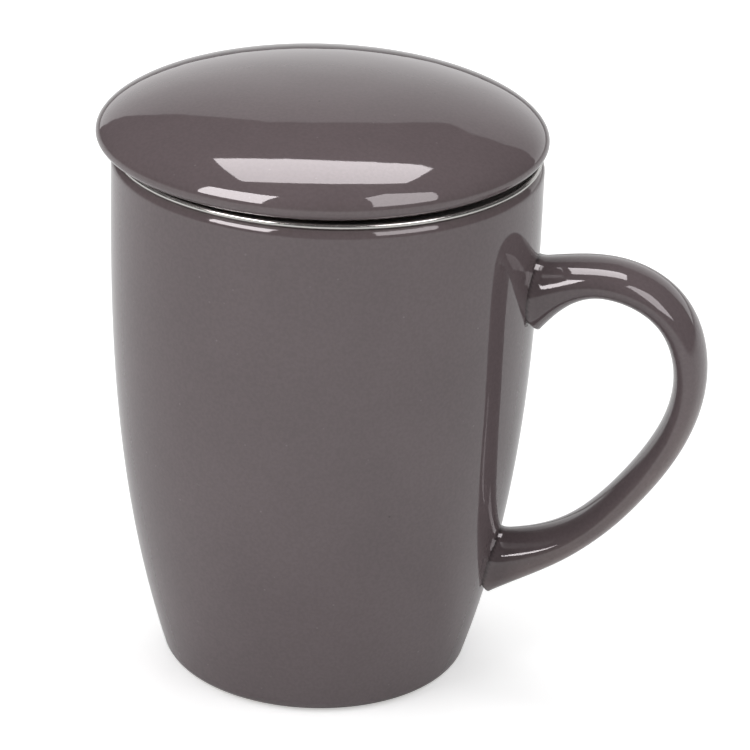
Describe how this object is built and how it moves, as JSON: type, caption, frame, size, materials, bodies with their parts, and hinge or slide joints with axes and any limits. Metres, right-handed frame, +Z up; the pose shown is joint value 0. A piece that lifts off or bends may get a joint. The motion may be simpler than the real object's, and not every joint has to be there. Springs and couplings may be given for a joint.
{
  "type": "lidded tea mug with infuser",
  "caption": "Glazed tea mug with a strap handle, a lift-out perforated steel infuser hung from its rim, and a loose domed lid that rests on the infuser's flange.",
  "frame": {"origin": "on the mug's own axis, in the plane that its foot ring stands on", "axes": "+Z up along the mug's axis; the handle is on +X and its middle plane is the XZ plane"},
  "size_m": [0.1226, 0.0886, 0.1232],
  "materials": {
    "mug_glaze": "glossy warm grey glaze",
    "lid_glaze": "glossy warm grey glaze",
    "steel": "bright pressed stainless steel"
  },
  "bodies": {
    "mug": {"mug_body": "mug_glaze", "mug_handle": "mug_glaze"},
    "infuser": {"infuser_rim": "steel", "infuser_wall": "steel", "infuser_base": "steel"},
    "lid": {"lid": "lid_glaze"}
  },
  "joints": [
    {"name": "infuser_lift", "type": "slide", "parent": "mug", "child": "infuser", "axis": [0, 0, 1], "range_m": [0, 0.09]},
    {"name": "lid_lift", "type": "slide", "parent": "infuser", "child": "lid", "axis": [0, 0, 1], "range_m": [0, 0.05]}
  ]
}
